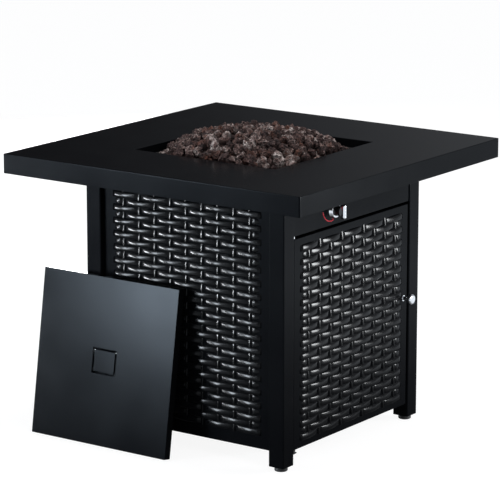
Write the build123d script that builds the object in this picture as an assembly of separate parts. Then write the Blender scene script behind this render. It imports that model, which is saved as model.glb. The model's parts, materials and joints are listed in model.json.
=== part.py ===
from build123d import *
import os
from math import cos, hypot, radians, sin, sqrt
from random import Random

# A square gas fire table in folded sheet steel. Millimetres, +Z up, the origin on the floor under the
# middle of the table top. The door and the gas knob look along -Y, and the lid leans on the -X side.

# General values
overrun = 1.0
running_fit = 0.05
seat_gap = 0.3

# Table top
table_height = 623.0
top_width = 762.0
fascia_height = 42.0
top_sheet = 1.5
top_corner_radius = 3.0
top_edge_radius = 1.2
return_flange = 20.0
opening_width = 366.0
ledge_width = 7.0

# Legs, their end pieces and what fixes the table top
body_width = 514.0
leg_width = 38.0
leg_wall = 1.5
leg_corner_radius = 3.0
leg_bottom = 10.4
cap_plate = 3.0
cap_plate_width = 63.0
weld_nut_height = 6.0
weld_nut_radius = 6.0
top_bolt_radius = 3.0
top_bolt_head_radius = 5.5
top_bolt_head = 4.0
top_bolt_inset = 13.0
plug_height = 25.0
plug_clearance = 0.1
foot_radius = 14.0
foot_top_gap = 0.4
foot_edge_radius = 2.5
stud_radius = 4.0
stud_length = 32.0

# Screws through the folds
screw_radius = 1.9
screw_hole_clearance = 0.1
screw_head_radius = 4.0
screw_head = 2.0
screw_tip = 5.0

# Side and rear panels
panel_recess = 11.0
panel_gap = 0.5
panel_low = 40.0
panel_high = 581.0
panel_depth = 14.0
panel_sheet = 1.0
panel_side_border = 26.5
panel_low_border = 28.6
panel_high_border = 20.0
panel_screw_shares = (0.12, 0.5, 0.88)

# Pressed basket weave
stake_pitch = 41.0
stake_width = 5.0
stake_edge_rise = 1.3
stake_rise = 2.6
row_pitch = 14.45
row_groove = 1.6
strand_low = 0.8
strand_rise = 3.4

# Door
door_recess = 3.0
door_gap = 3.0
door_low = 40.0
door_high = 490.0
door_depth = 14.0
door_sheet = 1.0
door_lip = 18.0
door_side_border = 24.0
door_low_border = 15.3
door_high_border = 15.0
hinge_inset = 5.0
hinge_setback = 5.0
hinge_pin_radius = 2.5
hinge_pin_head_radius = 3.5
hinge_pin_head = 1.5
hinge_pin_reach = 8.0
hinge_drop = 6.0
hinge_tab = 2.0
hinge_tab_reach = 6.5
hinge_tab_half = 5.0
hinge_plate_height = 20.0
hinge_bush_radius = 5.0
pull_inset = 16.0
pull_z = 283.0
pull_stem_radius = 4.5
pull_stem = 14.0
pull_base_radius = 6.5
pull_base = 2.0
pull_head_radius = 11.5
pull_head = 10.0
pull_head_round = 4.0
pull_screw_radius = 2.0
pull_screw_depth = 10.0
strike_thickness = 1.2
strike_width = 15.0
strike_height = 30.0
catch_width = 20.0
catch_depth = 18.0
catch_height = 44.0
catch_screw_spacing = 26.0
catch_groove = 3.0

# Control strip, gas knob and valve
control_low = 496.0
control_sheet = 1.2
control_depth = 14.0
control_screw_shares = (0.3, 0.7)
knob_x = -71.0
knob_z = 526.0
spindle_hole_radius = 8.0
bezel_base_radius = 18.0
bezel_front_radius = 15.0
bezel_height = 7.0
bezel_wall = 1.2
bezel_round = 2.0
neck_radius = 10.5
neck_gap = 0.6
neck_end = 20.0
push_travel = 5.0
grip_width = 10.0
grip_height = 32.0
grip_depth = 10.0
grip_round = 4.4
spindle_radius = 4.0
spindle_flat = 3.0
spindle_front = 16.0
spindle_back = 28.0
collar_radius = 7.0
collar_back = 11.0
collar_length = 8.0
collar_bore_end = 18.0
valve_ear_half = 21.0
valve_ear = 3.0
valve_ear_height = 16.0
bonnet_radius = 11.5
bonnet_length = 12.0
valve_width = 36.0
valve_length = 34.0
valve_block_height = 32.0
valve_screw_radius = 1.25
valve_screw_head_radius = 2.2
valve_screw_head = 2.0
valve_screw_offset = 13.2
inlet_setback = 17.0
inlet_hex_radius = 9.8
inlet_hex = 8.0
inlet_thread_radius = 7.9
inlet_thread = 14.0
inlet_bore_radius = 4.5
outlet_radius = 6.0
outlet_length = 6.0

# Gas line, mixer and burner
gas_line_z = 513.0
gas_tube_radius = 4.0
gas_tube_wall = 0.8
gas_tube_bend = 38.0
flare_nut_radius = 7.5
flare_nut = 10.0
elbow_width = 16.0
elbow_height = 14.0
elbow_nipple = 8.0
spud_radius = 4.5
spud_height = 7.0
mixer_radius = 11.0
mixer_wall = 1.2
mixer_in_hub = 15.0
air_window_width = 8.0
air_window_height = 9.0
air_window_rise = 6.0
lock_nut_radius = 18.0
lock_nut = 8.0
pan_sheet = 1.2
pan_floor_z = 547.0
pan_wall_gap = 0.5
pan_flange_gap = 0.5
pan_hole_gap = 0.3
hub_radius = 16.0
rail_column = 2
rail_end_column = 3.5
rail_radius = 9.5
burner_wall = 1.2
rail_rise = 18.0
cross_radius = 8.0
port_radius = 1.2
port_pitch = 20.0

# Igniter and thermocouple
igniter_clear = 4.0
igniter_half = 16.0
igniter_half_depth = 11.0
igniter_slot_half = 13.0
igniter_slot_half_depth = 6.0
igniter_sheet = 1.2
hood_height = 39.0
electrode_spacing = 14.0
insulator_radius = 3.5
insulator_height = 18.0
spark_rod_radius = 1.2
spark_rod = 12.0
probe_radius = 2.0
probe_height = 25.0
probe_drop = 6.0
lead_radius = 1.25
lead_drop = 10.0
lead_bend = 8.0

# Lava rock
stones_across = 9
stone_gap = 0.3
stone_height = 36.0
mound_height = 40.0
mound_radius = 165.0
bare_corner = 236.0
stone_seed = 11
ring_points = 5
stone_height_shares = (0.0, 0.3, 0.68, 1.0)
stone_least_reach_shares = (0.3, 0.78, 0.75, 0.3)
stone_most_reach_shares = (0.5, 0.98, 0.98, 0.5)

# Base tray and cylinder ring
tray_sheet = 1.2
tray_lip = 15.0
tray_gap = 4.0
tray_notch_gap = 0.5
tray_screw_inset = 4.5
tray_screw_offset = 120.0
tank_ring_radius = 112.0
tank_ring_wall = 1.5
tank_ring_height = 25.0
tank_ring_flange = 10.0

# Lid
lid_width = 362.0
lid_height = 18.0
lid_sheet = 1.2
lid_corner_radius = 2.0
lid_edge_radius = 0.8
lid_flush_gap = 0.3
lid_lean = 8.7
lid_middle_y = 177.0
recess_width = 65.0
recess_height = 56.0
recess_depth = 12.0
recess_wall = 1.0
recess_flange = 4.0
recess_fit = 0.2
flap_margin = 4.0
flap_sheet = 2.0
flap_inset = 0.4
flap_barrel_radius = 2.6
flap_pin_radius = 1.5
flap_pin_inset = 3.0

# Places that follow from the sizes above
top_half = top_width / 2
opening_half = opening_width / 2
ledge_half = opening_half - ledge_width
ledge_top = table_height - lid_flush_gap - lid_height - pan_sheet
half_body = body_width / 2
leg_centre = half_body - leg_width / 2
leg_inner = half_body - leg_width
leg_bore = leg_width - 2 * leg_wall
leg_bore_radius = max(leg_corner_radius - leg_wall, running_fit)
cap_top = table_height - top_sheet - weld_nut_height
leg_top = cap_top - cap_plate
bolt_place = leg_inner - top_bolt_inset
panel_half = leg_inner - panel_gap
panel_face = panel_recess - half_body
door_half = leg_inner - door_gap
door_face = door_recess - half_body
door_back = door_face + door_depth
hinge_x = hinge_inset - door_half
hinge_y = door_face + hinge_setback
hinge_tab_top = door_low - hinge_drop
pull_x = door_half - pull_inset
control_face = door_face
valve_front = control_sheet
valve_bonnet_back = valve_front + bonnet_length
valve_back = valve_bonnet_back + valve_length
valve_back_y = control_face + valve_back
outlet_y = valve_back_y + outlet_length
pan_floor_low = pan_floor_z - pan_sheet
pan_outer = ledge_half - pan_wall_gap
pan_inner = pan_outer - pan_sheet
stone_pitch = 2 * pan_inner / stones_across
rail_offset = rail_column * stone_pitch
rail_half_length = rail_end_column * stone_pitch - stone_gap
burner_z = pan_floor_z + rail_rise
burner_top = burner_z + rail_radius
elbow_low = gas_line_z - elbow_height / 2
elbow_top = gas_line_z + elbow_height / 2
elbow_end = elbow_width / 2 + elbow_nipple
igniter_x = -rail_offset
igniter_y = -rail_half_length - igniter_clear - igniter_half_depth
igniter_floor = pan_floor_z + igniter_sheet
hood_top = pan_floor_z + hood_height
lead_top = pan_floor_z - probe_drop
lead_z = lead_top - lead_drop
tray_low = panel_low + panel_sheet
tray_floor = tray_low + tray_sheet
tray_half = half_body - panel_recess - panel_sheet - tray_gap
tray_front = door_back + tray_gap
side_signs = (-1, 1)
corner_names = {
    "front_left": (-1, -1),
    "front_right": (1, -1),
    "rear_left": (-1, 1),
    "rear_right": (1, 1),
}
panel_turns = {"left": -90, "right": 90, "rear": 180}
UPWARD = (Align.CENTER, Align.CENTER, Align.MIN)


# Plain shapes that the pieces are cut from
def block(x_low, x_high, y_low, y_high, z_low, z_high):
    """A box between two corners."""
    middle = ((x_low + x_high) / 2, (y_low + y_high) / 2, (z_low + z_high) / 2)
    return Pos(*middle) * Box(x_high - x_low, y_high - y_low, z_high - z_low)


def square(half, z_low, z_high):
    """A square block about the Z axis."""
    return block(-half, half, -half, half, z_low, z_high)


def rod_up(radius, x, y, z_low, z_high):
    """A round bar along Z."""
    return Pos(x, y, z_low) * Cylinder(radius, z_high - z_low, align=UPWARD)


def rod_across(radius, y, z, x_a, x_b):
    """A round bar along X."""
    x_low = min(x_a, x_b)
    return Pos(x_low, y, z) * Rot(0, 90, 0) * Cylinder(radius, abs(x_b - x_a), align=UPWARD)


def rod_back(radius, x, z, y_low, y_high):
    """A round bar along Y."""
    return Pos(x, y_low, z) * Rot(-90, 0, 0) * Cylinder(radius, y_high - y_low, align=UPWARD)


def hex_bar(radius, length):
    """A hexagon bar up from the XY plane."""
    return extrude(RegularPolygon(radius, 6), length)


def facing_front(x, y, z):
    """The place on a front face where a piece's own +Z points out along -Y."""
    return Pos(x, y, z) * Rot(90, 0, 0)


def ring_up(outer, inner, x, y, z_low, z_high):
    """A round bar along Z with a bore through it."""
    return rod_up(outer, x, y, z_low, z_high) - rod_up(inner, x, y, z_low - overrun, z_high + overrun)


# Table top: folded fascia, and an opening with walls and a ledge for the burner pan
def make_table_top():
    low = table_height - fascia_height
    under = table_height - top_sheet
    body = square(top_half, low, table_height)
    body = fillet(body.edges().filter_by(Axis.Z), top_corner_radius)
    body = fillet(body.faces().sort_by(Axis.Z)[-1].edges(), top_edge_radius)
    body -= square(top_half - top_sheet, low + top_sheet, under)
    body -= square(top_half - return_flange, low - overrun, low + top_sheet + overrun)
    body += square(opening_half + top_sheet, ledge_top - top_sheet, under)
    body -= square(opening_half, ledge_top, table_height + overrun)
    body -= square(ledge_half, ledge_top - top_sheet - overrun, ledge_top + overrun)
    rim = body.faces().sort_by(Axis.Z)[-1].inner_wires()[0].edges()
    return fillet(rim, top_edge_radius)


# Screws along X, and the holes that they need
def screw_across(seat_x, tip_x, y, z):
    """A pan-head screw whose head sits at seat_x and whose tip points to tip_x."""
    way = 1 if tip_x > seat_x else -1
    head = rod_across(screw_head_radius, y, z, seat_x - way * screw_head, seat_x)
    return head + rod_across(screw_radius, y, z, seat_x, tip_x)


def drill_across(seat_x, tip_x, y, z):
    """The hole for such a screw, a little longer than the screw at both ends."""
    way = 1 if tip_x > seat_x else -1
    radius = screw_radius + screw_hole_clearance
    return rod_across(radius, y, z, seat_x - way * overrun, tip_x + way * overrun)


def fold_screw_places(face, depth, sheet, low, high, shares):
    """Head and tip of each screw through the two side folds of a front-facing panel."""
    tip = leg_inner + leg_wall + screw_tip
    seat = panel_half - sheet
    middle_y = face + depth / 2
    heights = [low + share * (high - low) for share in shares]
    return [(side * seat, side * tip, middle_y, z) for side in side_signs for z in heights]


panel_places = fold_screw_places(
    panel_face, panel_depth, panel_sheet, panel_low, panel_high, panel_screw_shares
)
control_places = fold_screw_places(
    control_face, control_depth, control_sheet, control_low, panel_high, control_screw_shares
)
hinge_screw_z = hinge_tab_top - hinge_tab - (hinge_plate_height - hinge_tab) / 2
hinge_screw_tip = -leg_inner - leg_wall - screw_tip
hinge_place = (hinge_tab - leg_inner, hinge_screw_tip, hinge_y, hinge_screw_z)
catch_front = door_back + strike_thickness + seat_gap
catch_places = [
    (leg_inner - catch_width, -hinge_screw_tip, catch_front + catch_depth / 2, pull_z + step)
    for step in (-catch_screw_spacing / 2, catch_screw_spacing / 2)
]


def each_screw(shape):
    """One shape, screw or drill, at every place where a screw goes into a leg."""
    turned = [
        Rot(0, 0, turn) * shape(*place) for turn in panel_turns.values() for place in panel_places
    ]
    return turned + [shape(*place) for place in [*control_places, hinge_place, *catch_places]]


# Legs, and the pieces at their ends
def make_leg(side_x, side_y, drills):
    wall = RectangleRounded(leg_width, leg_width, leg_corner_radius)
    wall -= RectangleRounded(leg_bore, leg_bore, leg_bore_radius)
    leg = Pos(side_x * leg_centre, side_y * leg_centre, leg_bottom) * extrude(wall, leg_top - leg_bottom)
    return leg - drills


def bolt_places(side_x, side_y):
    return [
        (side_x * bolt_place, side_y * leg_centre),
        (side_x * leg_centre, side_y * bolt_place),
    ]


def make_cap_plate(side_x, side_y):
    middle = half_body - cap_plate_width / 2
    plate = Box(cap_plate_width, cap_plate_width, cap_plate, align=UPWARD)
    plate = Pos(side_x * middle, side_y * middle, leg_top) * plate
    for x, y in bolt_places(side_x, side_y):
        plate -= rod_up(top_bolt_radius + screw_hole_clearance, x, y, leg_top - overrun, cap_top + overrun)
    return plate


def make_weld_nut(x, y):
    nut = Pos(x, y, cap_top) * hex_bar(weld_nut_radius, weld_nut_height)
    bore = top_bolt_radius + running_fit
    return nut - rod_up(bore, x, y, cap_top - overrun, cap_top + weld_nut_height + overrun)


def make_top_bolt(x, y):
    head = Pos(x, y, leg_top - top_bolt_head) * hex_bar(top_bolt_head_radius, top_bolt_head)
    return head + rod_up(top_bolt_radius, x, y, leg_top, cap_top + weld_nut_height - seat_gap)


def make_plug(side_x, side_y, drills):
    side = leg_bore - 2 * plug_clearance
    plug = extrude(RectangleRounded(side, side, leg_bore_radius), plug_height)
    plug -= rod_up(stud_radius + running_fit, 0, 0, -overrun, plug_height + overrun)
    return Pos(side_x * leg_centre, side_y * leg_centre, leg_bottom) * plug - drills


def make_foot(side_x, side_y):
    pad_height = leg_bottom - foot_top_gap
    pad = Cylinder(foot_radius, pad_height, align=UPWARD)
    pad = fillet(pad.edges().sort_by(Axis.Z)[0], foot_edge_radius)
    foot = pad + rod_up(stud_radius, 0, 0, pad_height, pad_height + stud_length)
    return Pos(side_x * leg_centre, side_y * leg_centre, 0) * foot


# Pressed basket weave: rows of strands that pass over every second stake
def weave_row(half_field, face, sheet, first_over):
    """Outline of one row seen from above, from the back of the sheet to the crowns of its strands."""
    count = int(2 * half_field / stake_pitch)
    reach = stake_pitch - stake_width / 2
    rise = strand_rise - strand_low
    crown_radius = (reach**2 + rise**2) / (2 * rise)

    def crown(u, middle):
        drop = crown_radius - sqrt(crown_radius**2 - (u - middle) ** 2)
        return (u, face - strand_rise + drop)

    edges = []
    here = (-half_field, face + sheet)
    for index in range(-1, count + 1):
        middle = (index - (count - 1) / 2) * stake_pitch
        over = (index + first_over) % 2 == 0
        spread = reach if over else stake_width / 2
        left = max(middle - spread, -half_field)
        right = min(middle + spread, half_field)
        if right - left < stake_edge_rise:
            continue
        if over:
            ends = [crown(u, middle) for u in (left, (left + right) / 2, right)]
        else:
            edge = face - stake_edge_rise
            ends = [(left, edge), (middle, face - stake_rise), (right, edge)]
        edges += [Line(here, ends[0]), ThreePointArc(*ends)]
        here = ends[2]
    corner = (half_field, face + sheet)
    edges += [Line(here, corner), Line(corner, (-half_field, face + sheet))]
    return make_face(edges)


def weave(half_field, low, high, face, sheet):
    """The rows of a pressed field, of two kinds in turn."""
    kinds = [weave_row(half_field, face, sheet, first) for first in range(2)]
    rows = int((high - low) / row_pitch)
    return [
        Pos(0, 0, low + row * row_pitch + row_groove / 2) * extrude(kinds[row % 2], row_pitch - row_groove)
        for row in range(rows)
    ]


def folded_sheet(half, low, high, face, depth, sheet):
    """A front-facing sheet with its four edges folded back."""
    body = block(-half, half, face, face + depth, low, high)
    return body - block(
        sheet - half, half - sheet, face + sheet, face + depth + overrun, low + sheet, high - sheet
    )


def tray_drill(x):
    """The upright hole of a tray screw, through a panel's lower fold and the tray."""
    y = panel_face + panel_depth - tray_screw_inset
    return rod_up(screw_radius + screw_hole_clearance, x, y, panel_low - overrun, tray_floor + overrun)


def make_panel(turn):
    panel = folded_sheet(panel_half, panel_low, panel_high, panel_face, panel_depth, panel_sheet)
    field_low = panel_low + panel_low_border
    field_high = panel_high - panel_high_border
    panel += weave(panel_half - panel_side_border, field_low, field_high, panel_face, panel_sheet)
    panel -= [drill_across(*place) for place in panel_places]
    panel -= [tray_drill(side * tray_screw_offset) for side in side_signs]
    return Rot(0, 0, turn) * panel


# Door, its hinge and its fittings
def make_door():
    door = block(-door_half, door_half, door_face, door_back, door_low, door_high)
    door -= block(
        door_sheet - door_half,
        door_half - door_sheet,
        door_face + door_sheet,
        door_back - door_sheet,
        door_low + door_sheet,
        door_high - door_sheet,
    )
    door -= block(
        door_lip - door_half,
        door_half - door_lip,
        door_back - door_sheet - overrun,
        door_back + overrun,
        door_low + door_lip,
        door_high - door_lip,
    )
    field_low = door_low + door_low_border
    field_high = door_high - door_high_border
    door += weave(door_half - door_side_border, field_low, field_high, door_face, door_sheet)
    pin_hole = hinge_pin_radius + running_fit
    for fold in (door_low, door_high - door_sheet):
        door -= rod_up(pin_hole, hinge_x, hinge_y, fold - overrun, fold + door_sheet + overrun)
    pull_hole = pull_screw_radius + screw_hole_clearance
    return door - rod_back(pull_hole, pull_x, pull_z, door_face - overrun, door_face + door_sheet + overrun)


def make_lower_hinge_bracket():
    tab_end = hinge_x + hinge_tab_reach
    front = hinge_y - hinge_tab_half
    back = hinge_y + hinge_tab_half
    plate_low = hinge_tab_top - hinge_plate_height
    bracket = block(-leg_inner, tab_end, front, back, hinge_tab_top - hinge_tab, hinge_tab_top)
    bracket += block(-leg_inner, hinge_tab - leg_inner, front, back, plate_low, hinge_tab_top)
    hole = hinge_pin_radius + running_fit
    bracket -= rod_up(hole, hinge_x, hinge_y, hinge_tab_top - hinge_tab - overrun, hinge_tab_top + overrun)
    return bracket - drill_across(*hinge_place)


def make_lower_hinge_pin():
    seat = hinge_tab_top - hinge_tab
    head = rod_up(hinge_pin_head_radius, hinge_x, hinge_y, seat - hinge_pin_head, seat)
    return head + rod_up(hinge_pin_radius, hinge_x, hinge_y, seat, door_low + door_sheet + hinge_pin_reach)


def make_upper_hinge_pin():
    seat = control_low + control_sheet
    head = rod_up(hinge_pin_head_radius, hinge_x, hinge_y, seat, seat + hinge_pin_head)
    return head + rod_up(hinge_pin_radius, hinge_x, hinge_y, door_high - door_sheet - hinge_pin_reach, seat)


def make_hinge_bush():
    bore = hinge_pin_radius + running_fit
    return ring_up(hinge_bush_radius, bore, hinge_x, hinge_y, hinge_tab_top, door_low - seat_gap)


def make_door_pull():
    pull = Cylinder(pull_base_radius, pull_base, align=UPWARD)
    pull += Cylinder(pull_stem_radius, pull_base + pull_stem, align=UPWARD)
    head = Cylinder(pull_head_radius, pull_head, align=UPWARD)
    head = fillet(head.edges().filter_by(GeomType.CIRCLE), pull_head_round)
    pull += Pos(0, 0, pull_base + pull_stem) * head
    pull -= Pos(0, 0, -overrun) * Cylinder(
        pull_screw_radius + running_fit, pull_screw_depth + overrun, align=UPWARD
    )
    return facing_front(pull_x, door_face, pull_z) * pull


def make_door_pull_screw():
    seat = door_face + door_sheet
    head = rod_back(screw_head_radius, pull_x, pull_z, seat, seat + screw_head)
    return head + rod_back(pull_screw_radius, pull_x, pull_z, door_face + seat_gap - pull_screw_depth, seat)


def make_strike_plate():
    middle = door_half - door_lip / 2
    low = pull_z - strike_height / 2
    return block(
        middle - strike_width / 2,
        middle + strike_width / 2,
        door_back,
        door_back + strike_thickness,
        low,
        low + strike_height,
    )


def make_magnet_catch():
    low = pull_z - catch_height / 2
    inner = leg_inner - catch_width
    catch = block(inner, leg_inner, catch_front, catch_front + catch_depth, low, low + catch_height)
    slot = block(
        inner + catch_groove,
        leg_inner - catch_groove,
        catch_front - overrun,
        catch_front + catch_groove,
        pull_z - catch_groove / 2,
        pull_z + catch_groove / 2,
    )
    return catch - slot - [drill_across(*place) for place in catch_places]


# Control strip, knob and valve. Each is drawn with +Z out of the strip's face.
on_strip = facing_front(knob_x, control_face, knob_z)


def on_axis(radius, back, front):
    """A round bar on the knob's axis, between two depths behind or before the strip."""
    return Pos(0, 0, back) * Cylinder(radius, front - back, align=UPWARD)


def valve_screw_bars(radius, back, front):
    return [Pos(side * valve_screw_offset, 0, 0) * on_axis(radius, back, front) for side in side_signs]


def spindle_section(extra):
    """The spindle's round section with one flat, with a little extra for the hole that takes it."""
    radius = spindle_radius + extra
    cut = Pos(0, spindle_flat + extra + radius) * Rectangle(2 * radius, 2 * radius)
    return Circle(radius) - cut


def make_control_panel():
    panel = folded_sheet(panel_half, control_low, panel_high, control_face, control_depth, control_sheet)
    panel -= on_strip * on_axis(spindle_hole_radius, -control_sheet - overrun, overrun)
    hole = valve_screw_radius + screw_hole_clearance
    panel -= [on_strip * bar for bar in valve_screw_bars(hole, -control_sheet - overrun, overrun)]
    panel -= [drill_across(*place) for place in control_places]
    pin_hole = hinge_pin_radius + running_fit
    return panel - rod_up(
        pin_hole, hinge_x, hinge_y, control_low - overrun, control_low + control_sheet + overrun
    )


def make_knob_bezel():
    bezel = Cone(bezel_base_radius, bezel_front_radius, bezel_height, align=UPWARD)
    bezel = fillet(bezel.faces().sort_by(Axis.Z)[-1].edges(), bezel_round)
    inner_base = bezel_base_radius - bezel_wall
    inner_front = bezel_front_radius - bezel_wall
    bezel -= Cone(inner_base, inner_front, bezel_height - bezel_wall, align=UPWARD)
    return on_strip * (bezel - on_axis(neck_radius + neck_gap, -overrun, bezel_height + overrun))


def make_control_knob():
    back = push_travel + neck_gap
    bore = extrude(spindle_section(running_fit), neck_end + 2 * overrun)
    knob = on_axis(neck_radius, back, neck_end) - Pos(0, 0, -overrun) * bore
    return on_strip * knob


def make_knob_grip():
    grip = extrude(RectangleRounded(grip_width, grip_height, grip_width / 2 - running_fit), grip_depth)
    grip = fillet(grip.faces().sort_by(Axis.Z)[-1].edges(), grip_round)
    return on_strip * Pos(0, 0, neck_end) * grip


def make_valve_spindle():
    spindle = on_axis(spindle_radius, -spindle_back, 0)
    return on_strip * (spindle + extrude(spindle_section(0), spindle_front))


def make_push_collar():
    collar = on_axis(collar_radius, -collar_back, collar_length - collar_back)
    return on_strip * (collar - on_axis(spindle_radius + running_fit, -collar_back - overrun, overrun))


def make_valve_body():
    bonnet_back = -valve_bonnet_back
    body = Pos(0, 0, -valve_front - valve_ear) * Box(
        2 * valve_ear_half, valve_ear_height, valve_ear, align=UPWARD
    )
    body += on_axis(bonnet_radius, bonnet_back, -valve_front)
    body += Pos(0, 0, -valve_back) * Box(valve_width, valve_block_height, valve_length, align=UPWARD)
    outlet = on_axis(outlet_radius, -valve_back - outlet_length, -valve_back)
    body += Pos(0, gas_line_z - knob_z, 0) * outlet
    body -= on_axis(collar_radius + running_fit, -collar_bore_end, overrun)
    body -= on_axis(spindle_radius + running_fit, -spindle_back - push_travel - neck_gap, overrun)
    hole = valve_screw_radius + running_fit
    return on_strip * (body - valve_screw_bars(hole, -valve_front - valve_ear - overrun, overrun))


def make_valve_screws():
    back = -valve_front - valve_ear
    shanks = valve_screw_bars(valve_screw_radius, back, 0)
    heads = valve_screw_bars(valve_screw_head_radius, 0, valve_screw_head)
    return [on_strip * (shank + head) for shank, head in zip(shanks, heads)]


def make_inlet_fitting():
    start = knob_x - valve_width / 2
    y = control_face + valve_bonnet_back + inlet_setback
    hexagon = Pos(start, y, knob_z) * Rot(0, -90, 0) * hex_bar(inlet_hex_radius, inlet_hex)
    end = start - inlet_hex - inlet_thread
    fitting = hexagon + rod_across(inlet_thread_radius, y, knob_z, end, start - inlet_hex)
    return fitting - rod_across(inlet_bore_radius, y, knob_z, end - overrun, start - seat_gap)


# Gas line, mixer and burner
def bent_tube(points, bend, outer, inner):
    """A tube along straight runs with round bends, hollow if it has a bore."""
    path = FilletPolyline(*points, radius=bend)
    start = Plane(path @ 0, z_dir=path % 0)
    section = start * Circle(outer)
    if inner > 0:
        section -= start * Circle(inner)
    return sweep(section, path)


def make_gas_tube():
    corner = (knob_x, 0, gas_line_z)
    points = [(knob_x, outlet_y, gas_line_z), corner, (-elbow_end, 0, gas_line_z)]
    return bent_tube(points, gas_tube_bend, gas_tube_radius, gas_tube_radius - gas_tube_wall)


def make_flare_nuts():
    bore = rod_up(gas_tube_radius + running_fit, 0, 0, -overrun, flare_nut + overrun)
    nut = hex_bar(flare_nut_radius, flare_nut) - bore
    at_valve = Pos(knob_x, outlet_y, gas_line_z) * Rot(-90, 0, 0) * nut
    return [at_valve, Pos(-elbow_end, 0, gas_line_z) * Rot(0, -90, 0) * nut]


def make_orifice_elbow():
    elbow = square(elbow_width / 2, elbow_low, elbow_top)
    elbow += rod_across(outlet_radius, 0, gas_line_z, -elbow_end, 0)
    elbow += rod_up(spud_radius, 0, 0, elbow_top, elbow_top + spud_height)
    passage = gas_tube_radius - gas_tube_wall
    return elbow - rod_across(passage, 0, gas_line_z, -elbow_end - overrun, 0)


def make_air_mixer():
    top = pan_floor_z + mixer_in_hub
    mixer = rod_up(mixer_radius, 0, 0, elbow_top, top)
    mixer -= rod_up(mixer_radius - mixer_wall, 0, 0, elbow_top + mixer_wall, top + overrun)
    mixer -= rod_up(spud_radius + running_fit, 0, 0, elbow_top - overrun, elbow_top + mixer_wall + overrun)
    low = elbow_top + air_window_rise
    high = low + air_window_height
    half = air_window_width / 2
    reach = mixer_radius + overrun
    mixer -= block(-reach, reach, -half, half, low, high)
    return mixer - block(-half, half, -reach, reach, low, high)


def make_lock_nut():
    nut = Pos(0, 0, pan_floor_low - lock_nut) * hex_bar(lock_nut_radius, lock_nut)
    return nut - rod_up(mixer_radius + running_fit, 0, 0, elbow_top, pan_floor_z)


def burner_shape(rail, rail_end, cross, hub, hub_low, hub_high):
    """Two rails joined by a cross tube and a hub, as solid bars of the sizes given."""
    shape = rod_across(cross, 0, burner_z, -rail_offset, rail_offset)
    shape += rod_up(hub, 0, 0, hub_low, hub_high)
    return shape + [
        rod_back(rail, side * rail_offset, burner_z, -rail_end, rail_end) for side in side_signs
    ]


def make_burner():
    passage = cross_radius - burner_wall
    burner = burner_shape(
        rail_radius, rail_half_length, cross_radius, hub_radius, pan_floor_z, burner_top
    )
    burner -= burner_shape(
        rail_radius - burner_wall, rail_half_length - burner_wall, passage, passage, pan_floor_z, burner_z
    )
    burner -= rod_up(mixer_radius + running_fit, 0, 0, pan_floor_z - overrun, pan_floor_z + mixer_in_hub)
    ports = int(2 * (rail_half_length - rail_radius) / port_pitch) + 1
    for side in side_signs:
        for index in range(ports):
            y = (index - (ports - 1) / 2) * port_pitch
            burner -= rod_up(port_radius, side * rail_offset, y, burner_z, burner_top + overrun)
    return burner


def make_burner_pan():
    flange_half = opening_half - pan_flange_gap
    pan = square(flange_half, ledge_top, ledge_top + pan_sheet)
    pan += square(pan_outer, pan_floor_low, ledge_top + pan_sheet)
    pan -= square(pan_inner, pan_floor_z, ledge_top + pan_sheet + overrun)
    pan -= rod_up(mixer_radius + pan_hole_gap, 0, 0, pan_floor_low - overrun, pan_floor_z + overrun)
    return pan - block(
        igniter_x - igniter_slot_half,
        igniter_x + igniter_slot_half,
        igniter_y - igniter_slot_half_depth,
        igniter_y + igniter_slot_half_depth,
        pan_floor_low - overrun,
        pan_floor_z + overrun,
    )


# Igniter and thermocouple at the end of a rail, under a hood
electrode_x = igniter_x - electrode_spacing / 2
probe_x = igniter_x + electrode_spacing / 2


def make_igniter_bracket():
    left = igniter_x - igniter_half
    right = igniter_x + igniter_half
    front = igniter_y - igniter_half_depth
    back = igniter_y + igniter_half_depth
    bracket = block(left, right, front, back, pan_floor_z, hood_top)
    bracket -= block(
        left + igniter_sheet,
        right - igniter_sheet,
        front - overrun,
        back + overrun,
        igniter_floor,
        hood_top - igniter_sheet,
    )
    for x, radius in ((electrode_x, insulator_radius), (probe_x, probe_radius)):
        hole = radius + running_fit
        bracket -= rod_up(hole, x, igniter_y, pan_floor_z - overrun, igniter_floor + overrun)
    return bracket


def make_igniter_electrode():
    top = igniter_floor + insulator_height
    return rod_up(insulator_radius, electrode_x, igniter_y, lead_top, top) + rod_up(
        spark_rod_radius, electrode_x, igniter_y, top, top + spark_rod
    )


def make_thermocouple():
    return rod_up(probe_radius, probe_x, igniter_y, lead_top, igniter_floor + probe_height)


def make_lead(x):
    points = [(x, igniter_y, lead_top), (x, igniter_y, lead_z), (x, valve_back_y, lead_z)]
    return bent_tube(points, lead_bend, lead_radius, 0)


# Lava rock: stacks of faceted stones, heaped in the middle, bare in the two side corners
def stack_floor(x, y, half):
    """What the lowest stone of a stack with this square footprint stands on."""

    def meets(middle_x, middle_y, half_x, half_y):
        return abs(x - middle_x) < half + half_x and abs(y - middle_y) < half + half_y

    if meets(igniter_x, igniter_y, igniter_half, igniter_half_depth):
        return hood_top
    on_rail = any(meets(side * rail_offset, 0, rail_radius, rail_half_length) for side in side_signs)
    if on_rail or meets(0, 0, hub_radius, hub_radius):
        return burner_top
    return burner_z + cross_radius if meets(0, 0, rail_offset, cross_radius) else pan_floor_z


def make_stone(chance, x, y, half, low, high):
    """A faceted stone between two heights, within its own square footprint."""
    points = []
    rings = zip(stone_height_shares, stone_least_reach_shares, stone_most_reach_shares)
    for height_share, least_share, most_share in rings:
        start = chance.uniform(0, 360)
        for index in range(ring_points):
            angle = radians(start + index * 360 / ring_points)
            reach = half * chance.uniform(least_share, most_share)
            z = low + height_share * (high - low)
            points.append((x + reach * cos(angle), y + reach * sin(angle), z))
    return ConvexPolyhedron(points)


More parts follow.
